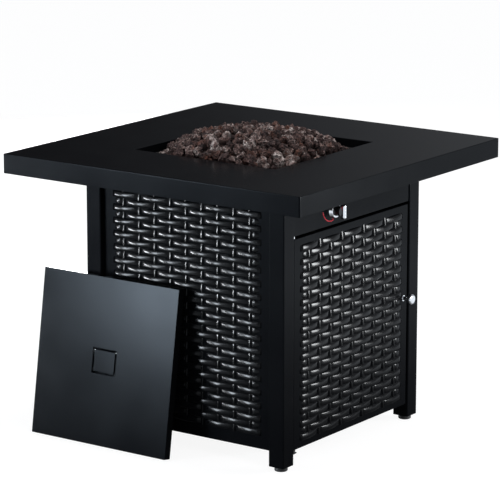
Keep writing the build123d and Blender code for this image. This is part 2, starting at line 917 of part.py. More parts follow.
def make_lava_rocks():
    chance = Random(stone_seed)
    half = (stone_pitch - stone_gap) / 2
    places = [(index - (stones_across - 1) / 2) * stone_pitch for index in range(stones_across)]
    stones = []
    for y in places:
        for x in places:
            if abs(x - y) > bare_corner:
                continue
            floor = stack_floor(x, y, half)
            top = table_height + mound_height * (1 - hypot(x, y) ** 2 / mound_radius**2)
            layers = max(1, round((top - floor) / stone_height))
            step = (top - floor) / layers
            for layer in range(layers):
                low = floor + layer * step + stone_gap
                stones.append(make_stone(chance, x, y, half, low, floor + (layer + 1) * step))
    return stones


# Base tray for the gas cylinder
def make_base_tray():
    tray = block(-tray_half, tray_half, tray_front, tray_half, tray_low, tray_floor + tray_lip)
    tray -= block(
        tray_sheet - tray_half,
        tray_half - tray_sheet,
        tray_front + tray_sheet,
        tray_half - tray_sheet,
        tray_floor,
        tray_floor + tray_lip + overrun,
    )
    notch_low = panel_half - panel_sheet - tray_notch_gap
    notch_high = half_body + overrun
    notch = block(
        notch_low, notch_high, notch_low, notch_high, tray_low - overrun, tray_floor + tray_lip + overrun
    )
    tray -= [Rot(0, 0, turn) * notch for turn in (0, 90, 180, 270)]
    for turn in panel_turns.values():
        tray -= [Rot(0, 0, turn) * tray_drill(side * tray_screw_offset) for side in side_signs]
    return tray


def make_tray_screws():
    y = panel_face + panel_depth - tray_screw_inset
    screws = []
    for turn in panel_turns.values():
        for side in side_signs:
            x = side * tray_screw_offset
            head = rod_up(screw_head_radius, x, y, panel_low - screw_head, panel_low)
            shank = rod_up(screw_radius, x, y, panel_low, tray_floor + screw_head)
            screws.append(Rot(0, 0, turn) * (head + shank))
    return screws


def make_tank_ring():
    outer = tank_ring_radius + tank_ring_wall
    band = ring_up(outer, tank_ring_radius, 0, 0, tray_floor, tray_floor + tank_ring_height)
    flange_top = tray_floor + tank_ring_wall
    return band + ring_up(outer + tank_ring_flange, tank_ring_radius, 0, 0, tray_floor, flange_top)


# Lid, drawn flat with its face up at Z = 0, then leant against the rear left leg
lean = radians(lid_lean)
lid_foot_x = -half_body - seat_gap - lid_width * sin(lean) - lid_height * cos(lean)
lid_foot_z = lid_height * sin(lean) + seat_gap
lid_middle = (lid_foot_x + lid_width / 2 * sin(lean), lid_middle_y, lid_foot_z + lid_width / 2 * cos(lean))
leaning = Plane(lid_middle, x_dir=(sin(lean), 0, cos(lean)), z_dir=(-cos(lean), 0, sin(lean))).location
flap_axis_x = recess_height / 2 - recess_wall - flap_margin
flap_axis_z = -flap_inset - flap_pin_inset
cup_half_x = recess_height / 2 - recess_fit
cup_half_y = recess_width / 2 - recess_fit


def make_lid():
    half = lid_width / 2
    lid = square(half, -lid_height, 0)
    lid = fillet(lid.edges().filter_by(Axis.Z), lid_corner_radius)
    lid = fillet(lid.faces().sort_by(Axis.Z)[-1].edges(), lid_edge_radius)
    lid -= square(half - lid_sheet, -lid_height - overrun, -lid_sheet)
    return leaning * (lid - Box(recess_height, recess_width, 2 * lid_sheet + overrun))


def make_handle_cup():
    cup = block(-cup_half_x, cup_half_x, -cup_half_y, cup_half_y, -recess_depth, 0)
    reach_x = cup_half_x + recess_flange
    reach_y = cup_half_y + recess_flange
    cup += block(-reach_x, reach_x, -reach_y, reach_y, -lid_sheet - recess_wall, -lid_sheet)
    inner_x = cup_half_x - recess_wall
    inner_y = cup_half_y - recess_wall
    cup -= block(-inner_x, inner_x, -inner_y, inner_y, recess_wall - recess_depth, overrun)
    pin_hole = Pos(flap_axis_x, 0, flap_axis_z) * Rot(90, 0, 0) * Cylinder(
        flap_pin_radius + running_fit, recess_width + overrun
    )
    return leaning * (cup - pin_hole)


def make_handle_pin():
    pin = Rot(90, 0, 0) * Cylinder(flap_pin_radius, 2 * cup_half_y)
    return leaning * Pos(flap_axis_x, 0, flap_axis_z) * pin


def make_handle_flap():
    half_y = cup_half_y - recess_wall - flap_margin
    low_x = flap_margin + recess_wall - cup_half_x
    flap = block(low_x, flap_axis_x, -half_y, half_y, -flap_inset - flap_sheet, -flap_inset)
    barrel = Rot(90, 0, 0) * Cylinder(flap_barrel_radius, 2 * half_y)
    flap += Pos(flap_axis_x, 0, flap_axis_z) * barrel
    bore = Rot(90, 0, 0) * Cylinder(flap_pin_radius + running_fit, recess_width)
    return leaning * (flap - Pos(flap_axis_x, 0, flap_axis_z) * bore)


# Every piece under its own name
leg_drills = each_screw(drill_across)
pieces = {
    "table_top": make_table_top(),
    "burner_pan": make_burner_pan(),
    "lava_rocks": make_lava_rocks(),
    "burner": make_burner(),
    "burner_lock_nut": make_lock_nut(),
    "air_mixer": make_air_mixer(),
    "orifice_elbow": make_orifice_elbow(),
    "gas_tube": make_gas_tube(),
    "flare_nuts": make_flare_nuts(),
    "valve_body": make_valve_body(),
    "valve_screws": make_valve_screws(),
    "valve_inlet_fitting": make_inlet_fitting(),
    "valve_push_collar": make_push_collar(),
    "valve_spindle": make_valve_spindle(),
    "control_knob": make_control_knob(),
    "knob_grip": make_knob_grip(),
    "knob_bezel": make_knob_bezel(),
    "igniter_bracket": make_igniter_bracket(),
    "igniter_electrode": make_igniter_electrode(),
    "igniter_lead": make_lead(electrode_x),
    "thermocouple": make_thermocouple(),
    "thermocouple_lead": make_lead(probe_x),
    "control_panel": make_control_panel(),
    "door": make_door(),
    "door_pull": make_door_pull(),
    "door_pull_screw": make_door_pull_screw(),
    "strike_plate": make_strike_plate(),
    "magnet_catch": make_magnet_catch(),
    "upper_hinge_pin": make_upper_hinge_pin(),
    "lower_hinge_pin": make_lower_hinge_pin(),
    "lower_hinge_bracket": make_lower_hinge_bracket(),
    "hinge_bush": make_hinge_bush(),
    "base_tray": make_base_tray(),
    "tank_ring": make_tank_ring(),
    "fixing_screws": each_screw(screw_across) + make_tray_screws(),
    "lid": make_lid(),
    "lid_handle_cup": make_handle_cup(),
    "lid_handle_pin": make_handle_pin(),
    "lid_handle_flap": make_handle_flap(),
}
for name, turn in panel_turns.items():
    pieces[f"{name}_panel"] = make_panel(turn)
top_bolt_places = []
for name, corner in corner_names.items():
    pieces[f"{name}_leg"] = make_leg(*corner, leg_drills)
    pieces[f"{name}_cap_plate"] = make_cap_plate(*corner)
    pieces[f"{name}_leg_plug"] = make_plug(*corner, leg_drills)
    pieces[f"{name}_foot"] = make_foot(*corner)
    top_bolt_places += bolt_places(*corner)
pieces["weld_nuts"] = [make_weld_nut(x, y) for x, y in top_bolt_places]
pieces["top_bolts"] = [make_top_bolt(x, y) for x, y in top_bolt_places]

os.makedirs("parts", exist_ok=True)
for name, piece in pieces.items():
    shape = Compound(children=piece) if isinstance(piece, list) else piece
    export_step(shape, f"parts/{name}.step")
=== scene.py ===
import json
from collections import namedtuple
from math import pi, radians, sqrt
from random import Random

import bmesh
import bpy
from mathutils import Matrix, Vector, noise


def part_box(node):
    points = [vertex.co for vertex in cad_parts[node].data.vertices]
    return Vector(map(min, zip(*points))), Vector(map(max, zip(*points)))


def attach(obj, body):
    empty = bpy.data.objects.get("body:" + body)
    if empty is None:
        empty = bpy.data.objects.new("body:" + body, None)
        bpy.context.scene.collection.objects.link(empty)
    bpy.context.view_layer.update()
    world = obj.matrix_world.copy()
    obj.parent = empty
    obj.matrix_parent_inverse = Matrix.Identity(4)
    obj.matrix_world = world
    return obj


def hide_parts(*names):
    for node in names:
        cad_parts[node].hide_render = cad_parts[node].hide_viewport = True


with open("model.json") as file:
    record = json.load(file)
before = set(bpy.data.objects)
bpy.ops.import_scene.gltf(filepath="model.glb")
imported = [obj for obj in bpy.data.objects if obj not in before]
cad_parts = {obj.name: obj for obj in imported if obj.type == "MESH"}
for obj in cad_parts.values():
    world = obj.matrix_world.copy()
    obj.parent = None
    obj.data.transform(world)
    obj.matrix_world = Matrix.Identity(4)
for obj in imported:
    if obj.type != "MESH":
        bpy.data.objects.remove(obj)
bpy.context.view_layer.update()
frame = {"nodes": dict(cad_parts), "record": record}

# The looks of a square gas fire table. Metres, +Z up, the door and the knob look along -Y.
nodes = frame["nodes"]
scene = bpy.context.scene
scene.view_settings.view_transform = "Standard"
mm_per_metre = 1000


# Shader helpers
def add_node(tree, kind, sockets=None, **settings):
    """A shader node with its settings, and with each socket set to a value or linked to another socket."""
    node = tree.nodes.new(kind)
    for key, value in settings.items():
        setattr(node, key, value)
    for key, value in (sockets or {}).items():
        if isinstance(value, bpy.types.NodeSocket):
            tree.links.new(value, node.inputs[key])
        else:
            node.inputs[key].default_value = value
    return node


def maths(tree, operation, *values):
    """The result of one operation on numbers."""
    return add_node(tree, "ShaderNodeMath", dict(enumerate(values)), operation=operation).outputs[0]


def vector_maths(tree, operation, *vectors):
    """The outputs, Vector and Value, of one operation on vectors."""
    return add_node(tree, "ShaderNodeVectorMath", dict(enumerate(vectors)), operation=operation).outputs


def spread(tree, value, start, end, least=0.0, most=1.0, smooth=False):
    """A number that goes from least to most while the value goes from start to end."""
    sockets = {"Value": value, "From Min": start, "From Max": end, "To Min": least, "To Max": most}
    course = "SMOOTHSTEP" if smooth else "LINEAR"
    return add_node(tree, "ShaderNodeMapRange", sockets, interpolation_type=course).outputs["Result"]


def blend_colors(tree, share, first, second):
    """The first colour where the share is 0, the second where it is 1."""
    sockets = {"Factor": share, "A": first, "B": second}
    return add_node(tree, "ShaderNodeMix", sockets, data_type="RGBA").outputs["Result"]


def soft_noise(tree, place, scale, detail, roughness=0.5):
    """Soft random patches, from 0 to 1."""
    sockets = {"Vector": place, "Scale": scale, "Detail": detail, "Roughness": roughness}
    return add_node(tree, "ShaderNodeTexNoise", sockets).outputs["Fac"]


def open_cells(tree, place, scale, start, end):
    """Small holes, 0 in the middle of each and 1 between them."""
    cells = add_node(tree, "ShaderNodeTexVoronoi", {"Vector": place, "Scale": scale})
    return spread(tree, cells.outputs["Distance"], start, end)


def new_group(name, inputs, outputs):
    """An empty node group with named sockets, and the sockets of its two ends."""
    group = bpy.data.node_groups.new(name, "ShaderNodeTree")
    for way, sockets in (("INPUT", inputs), ("OUTPUT", outputs)):
        for socket, kind in sockets.items():
            group.interface.new_socket(socket, in_out=way, socket_type=f"NodeSocket{kind}")
    return group, group.nodes.new("NodeGroupInput").outputs, group.nodes.new("NodeGroupOutput").inputs


def new_material(name):
    """A new material, its nodes and its surface shader."""
    material = bpy.data.materials.new(name)
    material.use_nodes = True
    return material, material.node_tree, material.node_tree.nodes["Principled BSDF"]


# Made surfaces
patches_per_metre = 9.0
grain_strength = 0.6
edge_samples = 6


def make_surface_grain():
    """Soft patches of a second colour, uneven gloss and a fine grain, for every made surface."""
    group, given, result = new_group(
        "surface_grain",
        {
            "Main Color": "Color",
            "Patch Color": "Color",
            "Patch Scale": "Float",
            "Grain Scale": "Float",
            "Stretch": "Vector",
            "Least Roughness": "Float",
            "Most Roughness": "Float",
        },
        {"Color": "Color", "Roughness": "Float", "Height": "Float"},
    )
    place = add_node(group, "ShaderNodeTexCoord").outputs["Object"]
    drawn = vector_maths(group, "MULTIPLY", place, given["Stretch"])["Vector"]
    patches = soft_noise(group, drawn, given["Patch Scale"], detail=4.0)
    grain = soft_noise(group, drawn, given["Grain Scale"], detail=2.0)
    patch_share = spread(group, patches, start=0.35, end=0.68)
    color = blend_colors(group, patch_share, given["Main Color"], given["Patch Color"])
    gloss = spread(
        group, patches, start=0.3, end=0.7, least=given["Least Roughness"], most=given["Most Roughness"]
    )
    group.links.new(color, result["Color"])
    group.links.new(gloss, result["Roughness"])
    group.links.new(grain, result["Height"])
    return group


surface_grain = make_surface_grain()


def finish(name, main, patch, roughness, grain, bump, stretch=(1, 1, 1), edge=0.0, **shader):
    """A made surface: two colours, gloss range, grain per metre, grain depth and edge radius in mm."""
    material, tree, surface = new_material(name)
    values = {
        "Main Color": (*main, 1),
        "Patch Color": (*patch, 1),
        "Patch Scale": patches_per_metre,
        "Grain Scale": grain,
        "Stretch": stretch,
        "Least Roughness": roughness[0],
        "Most Roughness": roughness[1],
    }
    look = add_node(tree, "ShaderNodeGroup", values, node_tree=surface_grain).outputs
    depths = {"Height": look["Height"], "Strength": grain_strength, "Distance": bump / mm_per_metre}
    relief = add_node(tree, "ShaderNodeBump", depths)
    if edge:
        softened = add_node(tree, "ShaderNodeBevel", {"Radius": edge / mm_per_metre}, samples=edge_samples)
        tree.links.new(softened.outputs["Normal"], relief.inputs["Normal"])
    tree.links.new(look["Color"], surface.inputs["Base Color"])
    tree.links.new(look["Roughness"], surface.inputs["Roughness"])
    tree.links.new(relief.outputs["Normal"], surface.inputs["Normal"])
    for key, value in shader.items():
        surface.inputs[key.replace("_", " ")].default_value = value
    return material


finishes = {
    "black_coat": finish(
        "black_powder_coat", main=(0.0026, 0.0028, 0.0035), patch=(0.0036, 0.0039, 0.0046),
        roughness=(0.15, 0.19), grain=900, bump=0.01, edge=1.2,
        # Painted light: the blue specular tint gives the coat's reflections a cool cast
        Specular_IOR_Level=0.045, Specular_Tint=(0.78, 0.89, 1.0, 1),
    ),
    "pan_enamel": finish(
        "pan_enamel", main=(0.008, 0.008, 0.008), patch=(0.02, 0.018, 0.016),
        roughness=(0.5, 0.7), grain=500, bump=0.05, Specular_IOR_Level=0.3,
    ),
    "stainless": finish(
        "burner_steel", main=(0.5, 0.49, 0.47), patch=(0.36, 0.31, 0.27),
        roughness=(0.25, 0.45), grain=900, bump=0.02, stretch=(1, 0.1, 1), Metallic=1.0,
    ),
    "zinc": finish(
        "zinc_plate", main=(0.62, 0.63, 0.64), patch=(0.5, 0.51, 0.53),
        roughness=(0.22, 0.36), grain=900, bump=0.02, Metallic=1.0,
    ),
    "brass": finish(
        "turned_brass", main=(0.72, 0.52, 0.22), patch=(0.58, 0.4, 0.16),
        roughness=(0.2, 0.34), grain=700, bump=0.02, Metallic=1.0,
    ),
    "copper": finish(
        "copper_tube", main=(0.72, 0.36, 0.2), patch=(0.5, 0.25, 0.15),
        roughness=(0.25, 0.4), grain=700, bump=0.02, Metallic=1.0,
    ),
    "alloy": finish(
        "cast_alloy", main=(0.6, 0.6, 0.61), patch=(0.5, 0.5, 0.51),
        roughness=(0.32, 0.5), grain=1200, bump=0.05, Metallic=1.0,
    ),
    "chrome": finish(
        "bright_chrome", main=(0.82, 0.83, 0.85), patch=(0.75, 0.76, 0.78),
        roughness=(0.06, 0.12), grain=300, bump=0.01, Metallic=1.0,
    ),
    "knob_black": finish(
        "knob_black", main=(0.012, 0.012, 0.013), patch=(0.02, 0.02, 0.021),
        roughness=(0.16, 0.28), grain=900, bump=0.01,
    ),
    "white_ceramic": finish(
        "fired_ceramic", main=(0.76, 0.73, 0.67), patch=(0.6, 0.55, 0.48),
        roughness=(0.5, 0.65), grain=800, bump=0.03,
    ),
    "lead_sleeve": finish(
        "lead_sleeve", main=(0.02, 0.02, 0.02), patch=(0.03, 0.03, 0.03),
        roughness=(0.55, 0.7), grain=900, bump=0.03,
    ),
    "black_plastic": finish(
        "moulded_black", main=(0.018, 0.018, 0.018), patch=(0.028, 0.028, 0.028),
        roughness=(0.45, 0.6), grain=1400, bump=0.05,
    ),
}
strand_gloss = finish(
    "woven_gloss", main=(0.0024, 0.0026, 0.0032), patch=(0.0042, 0.0045, 0.0052),
    roughness=(0.14, 0.2), grain=500, bump=0.012, stretch=(0.12, 0.12, 1), Specular_IOR_Level=0.12,
)
red_print = finish(
    "red_print", main=(0.42, 0.004, 0.016), patch=(0.34, 0.003, 0.013),
    roughness=(0.4, 0.5), grain=900, bump=0.01, Specular_IOR_Level=0.08,
)

# Lava stone: its colours from the darkest to the ashy grey, each with its place on the mottle that also
# raises the bump, so the dark low end is partly painted shade and the pale high end partly painted
# highlight
lava_colors_and_painted_light = (
    (0.42, (0.009, 0.005, 0.005, 1)),
    (0.57, (0.052, 0.027, 0.025, 1)),
    (0.7, (0.17, 0.112, 0.1, 1)),
    (0.84, (0.6, 0.52, 0.49, 1)),
)
lava_rust = (0.12, 0.046, 0.03, 1)
# Painted shade: the near-black colour laid into every pore
lava_pore_painted_shade = (0.014, 0.01, 0.009, 1)
lava_tone_share = 0.26
lava_relief = 0.004
lava_roughness = 0.8
lava_gloss = 0.3


def make_lava():
    """Brown and grey stone with a tone of its own for each; its pores are painted near black as painted
    shade, and its raised mottle is paler, partly ash colour and partly painted highlight.
    """
    material, tree, surface = new_material("lava_stone")
    place = add_node(tree, "ShaderNodeTexCoord").outputs["Object"]
    tone = add_node(tree, "ShaderNodeAttribute", attribute_name="tone").outputs["Fac"]
    mottle = soft_noise(tree, place, scale=75.0, detail=8.0, roughness=0.72)
    tint = soft_noise(tree, place, scale=28.0, detail=3.0)
    pores = open_cells(tree, place, scale=330.0, start=0.1, end=0.5)
    pits = open_cells(tree, place, scale=130.0, start=0.12, end=0.42)
    # Pore mask: it sinks the bump in each pore and lays the painted shade colour there
    depth = maths(tree, "MULTIPLY", pores, pits)
    # The colour ramp follows the mottle that also raises the bump: darker low, partly painted shade, and
    # paler high, partly ash colour and partly painted highlight
    toned = maths(tree, "MULTIPLY_ADD", tone, lava_tone_share, mottle)
    shades = add_node(tree, "ShaderNodeValToRGB", {"Fac": toned})
    stops = shades.color_ramp.elements
    for position, color in lava_colors_and_painted_light:
        stops.new(position).color = color
    stops.remove(stops[0])
    stops.remove(stops[-1])
    rust = spread(tree, tint, start=0.5, end=0.75)
    warm = blend_colors(tree, rust, shades.outputs["Color"], lava_rust)
    # Painted shade: the pores take the near-black pore colour
    dark = blend_colors(tree, depth, lava_pore_painted_shade, warm)
    height = maths(tree, "ADD", depth, mottle)
    relief = add_node(tree, "ShaderNodeBump", {"Height": height, "Strength": 1.0, "Distance": lava_relief})
    tree.links.new(dark, surface.inputs["Base Color"])
    tree.links.new(relief.outputs["Normal"], surface.inputs["Normal"])
    surface.inputs["Roughness"].default_value = lava_roughness
    surface.inputs["Specular IOR Level"].default_value = lava_gloss
    return material


finishes["lava"] = make_lava()
for part in frame["record"]["subparts"]:
    mesh = nodes[part["node"]].data
    mesh.materials.clear()
    mesh.materials.append(finishes[part["material_slot"]])


# Pieces
def mesh_of(bm, name):
    """A mesh with the bmesh's shape, which is then freed."""
    mesh = bpy.data.meshes.new(name)
    bm.to_mesh(mesh)
    bm.free()
    return mesh


def add_piece(bm, name, body, material, smooth=True):
    """A finished mesh at the origin that rides on a body."""
    mesh = mesh_of(bm, name)
    mesh.materials.append(material)
    mesh.polygons.foreach_set("use_smooth", [smooth] * len(mesh.polygons))
    piece = bpy.data.objects.new(name, mesh)
    scene.collection.objects.link(piece)
    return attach(piece, body)


# Weave: upright stakes, and strands that pass over every second stake and behind the others
stake_count = 9
stake_pitch = 0.041
stake_half = 0.0027
stake_rise = 0.0034
stake_reach = 0.0084
stake_gap = 0.0008
stake_bow = 0.1
stake_lean = 0.5
stake_roll = 0.11
stake_flatness = 6
stake_steps_across = 8
stake_steps_along = 4
stake_places = [(index - stake_count // 2) * stake_pitch for index in range(stake_count)]

strand_half = 0.0076
strand_rise = 0.0058
strand_lean = 0.5
strand_crown = 0.1
strand_flatness = 12
strand_steps_along = 8
strand_round = (-1, -0.9, -0.45, 0.1, 0.55, 0.9, 1)
sunk = 0.0003
end_wall = 0.0005
run_share = 0.75
run_slack = 0.01
level_share = 0.25
row_pitch = 0.01445
field_half = 0.192

# Ends of strands: behind a stake, at the border, and on the short strands beside the outer stakes
dive_half = 0.006
dive_rise = 0.0008
border_half = 0.0072
border_rise = 0.0032
stub_half = 0.0065
stub_rise = 0.0034
stub_crown = 0.008
stub_inset = 0.004
stub_tip_half = 0.0025
stub_tip_rise = 0.0006

StrandEnd = namedtuple("StrandEnd", "place half rise")


def arch(bm, crown, rise, left, right):
    """One strand seen from the front: it climbs out at one end, crowns, and dives at the other."""
    sides = len(strand_round) - 1
    grid = bmesh.ops.create_grid(bm, x_segments=strand_steps_along, y_segments=sides, size=1.0)
    for vert in grid["verts"]:
        along = vert.co.x
        across = strand_round[round((vert.co.y + 1) / 2 * sides)]
        end = left if along < 0 else right
        reach = end.place - crown
        run = min(1.0, abs(along) / run_share)
        share = run * run * (3 - 2 * run)
        half = end.half + (strand_half - end.half) * (1 - share**2)
        fall = max(0.0, share - level_share) / (1 - level_share)
        height = rise + (end.rise - rise) * fall
        if abs(along) > run_share + run_slack:
            height = 0.0
        else:
            share *= 1 - end_wall / abs(reach)
        face = 1 - strand_lean * (across + 1) / 2 - strand_crown * across**2
        round_share = face * sqrt(max(0.0, 1 - across**strand_flatness))
        vert.co = (crown + share * reach, sunk - height * round_share, across * half)


def add_stake(bm, middle):
    """The short length of an upright stake that shows between two strands."""
    grid = bmesh.ops.create_grid(bm, x_segments=stake_steps_across, y_segments=stake_steps_along, size=1.0)
    for vert in grid["verts"]:
        across = vert.co.x
        along = vert.co.y
        face = 1 + stake_roll * across - stake_lean * (along + 1) / 2 - stake_bow * along**2
        round_share = face * sqrt(max(0.0, 1 - across**stake_flatness))
        vert.co = (middle + across * stake_half, sunk - stake_rise * round_share, along * stake_reach)


def row_pattern(first_over):
    """One row of the weave about Z = 0, over every second stake and behind the others."""
    bm = bmesh.new()
    dive = stake_half + stake_gap
    for index, middle in enumerate(stake_places):
        if index % 2 != first_over:
            add_stake(bm, middle)
            continue
        left = StrandEnd(middle - stake_pitch + dive, dive_half, dive_rise)
        right = StrandEnd(middle + stake_pitch - dive, dive_half, dive_rise)
        if index == 0:
            left = StrandEnd(-field_half, border_half, border_rise)
        elif index == stake_count - 1:
            right = StrandEnd(field_half, border_half, border_rise)
        arch(bm, middle, strand_rise, left, right)
    if first_over:
        for side in (-1, 1):
            inner = side * (stake_places[-1] + dive)
            by_stake = StrandEnd(inner, stub_half, dive_rise)
            tip = StrandEnd(side * (field_half - stub_inset), stub_tip_half, stub_tip_rise)
            left, right = (tip, by_stake) if side < 0 else (by_stake, tip)
            arch(bm, inner + side * stub_crown, stub_rise, left, right)
    return mesh_of(bm, "weave_row")


row_patterns = [row_pattern(0), row_pattern(1)]

# Sheets under the weave, with their folded edges and the borders below and above the weave
sheet_depth = 0.014
sheet_thickness = 0.001
sheet_edge = 0.0012
panel_low_border = 0.0286
panel_high_border = 0.02
door_low_border = 0.0153
door_high_border = 0.015
door_lip = 0.018
panel_turns = {"left": -90, "right": 90, "rear": 180}

FaceSize = namedtuple("FaceSize", "half low high front")


def face_size(node, turn):
    """Half width, lower and upper edge and front of a woven node, as if it looked along -Y."""
    corners = [Matrix.Rotation(radians(-turn), 3, "Z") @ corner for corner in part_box(node)]
    half = max(corner.x for corner in corners)
    back = max(corner.y for corner in corners)
    return FaceSize(half, corners[0].z, corners[1].z, back - sheet_depth)


def woven_field(name, body, size, low_border, high_border, turn):
    """The rows of one woven face, laid up from its lower border and turned to its side of the table."""
    low = size.low + low_border
    bm = bmesh.new()
    for row in range(int((size.high - high_border - low) / row_pitch)):
        start = len(bm.verts)
        bm.from_mesh(row_patterns[row % 2])
        bm.verts.ensure_lookup_table()
        bmesh.ops.translate(bm, verts=bm.verts[start:], vec=(0, size.front, low + (row + 0.5) * row_pitch))
    bmesh.ops.recalc_face_normals(bm, faces=bm.faces)
    bmesh.ops.rotate(bm, verts=bm.verts, matrix=Matrix.Rotation(radians(turn), 3, "Z"))
    piece = add_piece(bm, name, body, strand_gloss)


def folded_sheet(name, body, size, lip, turn, node):
    """The sheet under a weave: a flat border with its edges folded back, and lips behind on a door."""
    bm = bmesh.new()
    bmesh.ops.create_cube(bm, size=1.0)
    bmesh.ops.scale(bm, verts=bm.verts, vec=(2 * size.half, sheet_depth, size.high - size.low))
    middle = (0, size.front + sheet_depth / 2, (size.low + size.high) / 2)
    bmesh.ops.translate(bm, verts=bm.verts, vec=middle)
    back = max(bm.faces, key=lambda side: side.calc_center_median().y)
    if lip:
        bmesh.ops.inset_region(bm, faces=[back], thickness=lip)
    bmesh.ops.delete(bm, geom=[back], context="FACES")
    near_front = size.front + sheet_depth / 4
    front_edges = [edge for edge in bm.edges if all(vert.co.y < near_front for vert in edge.verts)]
    bmesh.ops.bevel(
        bm, geom=front_edges, offset=sheet_edge, offset_type="OFFSET", segments=2, profile=0.5,
        affect="EDGES", material=-1,
    )
    bmesh.ops.rotate(bm, verts=bm.verts, matrix=Matrix.Rotation(radians(turn), 3, "Z"))
    sheet = add_piece(bm, name, body, finishes["black_coat"], smooth=False)
    wall = sheet.modifiers.new("sheet_thickness", "SOLIDIFY")
    wall.thickness = sheet_thickness
    wall.offset = -1
    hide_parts(node)


for side, turn in panel_turns.items():
    panel = face_size(f"{side}_panel", turn)
    folded_sheet(f"{side}_sheet", "frame", panel, lip=0, turn=turn, node=f"{side}_panel")
    woven_field(f"{side}_weave", "frame", panel, panel_low_border, panel_high_border, turn)
door = face_size("door", turn=0)
folded_sheet("door_sheet", "door", door, lip=door_lip, turn=0, node="door")
woven_field("door_weave", "door", door, door_low_border, door_high_border, turn=0)

# Bed of stones: its reach, its mound, and its layers, the top one first
heap_half = 0.1735
heap_floor = 0.549
mound_height = 0.038
mound_radius = 0.182
mound_power = 1.4
corner_start = 0.285
corner_slope = 1.2
heap_layers = 3
layer_drop = 0.022
layer_tries = 3600
heap_seed = 5

# Height of the table's surface, rounded so that the stones fall the same way in every run
rim_digits = 4
rim_height = round(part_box("table_top")[1].z, rim_digits)

# One stone: radii in metres, how far it sinks in and how close it lies, as shares of radii
smallest_stone = 0.008
usual_stone = 0.011
largest_stone = 0.016
sink_shares = (0.6, 1.15)
spacing_share = 0.84
large_stone = 0.0125
large_fineness = 4
small_fineness = 3
buried_fineness = 2

# Shape of a stone of radius 1: flats, lumps as height and rate, and its three lengths
chip_count = 10
chip_depths = (0.5, 0.88)
lump_shapes = ((0.22, 1.9), (0.17, 4.2), (0.1, 8.5))
lump_shift = 50
stone_swell = 1.2
stone_lengths = ((0.95, 1.3), (0.8, 1.05), (0.75, 1.0))


def heap_top(x, y):
    """Height of the bed of stones: a mound that runs down into the two side corners."""
    mound = rim_height + mound_height * (1 - ((x * x + y * y) / mound_radius**2) ** mound_power)
    return mound - corner_slope * max(0.0, abs(x - y) - corner_start)


def place_stones(chance):
    """Middles, radii and layers of stones that lie on the heap, top layer first, clear of each other."""
    stones = []
    for layer in range(heap_layers):
        for _ in range(layer_tries):
            radius = chance.triangular(smallest_stone, largest_stone, usual_stone)
            reach = heap_half - radius
            x = chance.uniform(-reach, reach)
            y = chance.uniform(-reach, reach)
            z = heap_top(x, y) - radius * chance.uniform(*sink_shares) - layer * layer_drop
            if z - radius < heap_floor:
                continue
            middle = Vector((x, y, z))
            if all((middle - other).length > spacing_share * (radius + size) for other, size, _ in stones):
                stones.append((middle, radius, layer))
    return stones


def stone_fineness(radius, layer):
    """How finely a stone is divided: most for a large one on top, least for one below."""
    if layer:
        return buried_fineness
    return large_fineness if radius > large_stone else small_fineness


def broken_stone(chance, middle, radius, fineness):
    """A broken stone: a ball chipped by a few flats, drawn out, roughened and turned."""
    bm = bmesh.new()
    tone = bm.verts.layers.float.new("tone")
    bmesh.ops.create_icosphere(bm, subdivisions=fineness, radius=1.0)
    chips = []
    for _ in range(chip_count):
        way = Vector([chance.gauss(0, 1) for _ in range(3)]).normalized()
        chips.append((way, chance.uniform(*chip_depths)))
    shift = Vector([chance.uniform(-lump_shift, lump_shift) for _ in range(3)])
    stone_tone = chance.random()
    for vert in bm.verts:
        for way, depth in chips:
            vert.co -= way * max(0.0, vert.co.dot(way) - depth)
        lumps = sum(height * noise.noise(vert.co * rate + shift) for height, rate in lump_shapes)
        vert.co *= stone_swell + lumps
        vert[tone] = stone_tone
    lengths = Vector([chance.uniform(*span) for span in stone_lengths])
    bmesh.ops.scale(bm, verts=bm.verts, vec=lengths * radius)
    for axis in "XYZ":
        bmesh.ops.rotate(bm, verts=bm.verts, matrix=Matrix.Rotation(chance.uniform(0, 2 * pi), 3, axis))
    bmesh.ops.translate(bm, verts=bm.verts, vec=middle)
    for vert in bm.verts:
        vert.co.x = min(heap_half, max(-heap_half, vert.co.x))
        vert.co.y = min(heap_half, max(-heap_half, vert.co.y))
    return bm


def heap_of_lava():
    """The bed of lava stones over the burner."""
    chance = Random(heap_seed)
    bm = bmesh.new()
    one_stone = bpy.data.meshes.new("one_stone")
    for middle, radius, layer in place_stones(chance):
        stone = broken_stone(chance, middle, radius, stone_fineness(radius, layer))
        stone.to_mesh(one_stone)
        stone.free()
        bm.from_mesh(one_stone)
    bpy.data.meshes.remove(one_stone)
    heap = add_piece(bm, "lava_heap", "frame", finishes["lava"])
    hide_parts("lava_rocks")


heap_of_lava()

# Red line by the knob: its middle from the bezel's, its lift off the strip, radii and angles
mark_left = 0.0106
mark_up = 0.0097
mark_lift = 0.00012
mark_radii = (0.0296, 0.032)
mark_start = radians(13)
mark_sweep = radians(95)
mark_steps = 28
outward = (0, -1, 0)


def dial_mark():
    """The red line printed round the lower left of the knob, just proud of the strip."""
    bezel_low, bezel_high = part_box("knob_bezel")
    bezel = (bezel_low + bezel_high) / 2
    strip_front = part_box("control_panel")[0].y
    middle = Vector((bezel.x - mark_left, strip_front - mark_lift, bezel.z + mark_up))
    bm = bmesh.new()
    ends = [bm.verts.new(middle - Vector((radius, 0, 0))) for radius in mark_radii]
    line = bm.edges.new(ends)
    bmesh.ops.spin(
        bm, geom=[*ends, line], cent=middle, axis=outward, angle=mark_sweep, steps=mark_steps,
        use_merge=False, use_duplicate=False,
    )
    bmesh.ops.rotate(bm, verts=bm.verts, cent=middle, matrix=Matrix.Rotation(mark_start, 3, outward))
    bmesh.ops.recalc_face_normals(bm, faces=bm.faces)
    add_piece(bm, "dial_mark", "frame", red_print, smooth=False)


dial_mark()

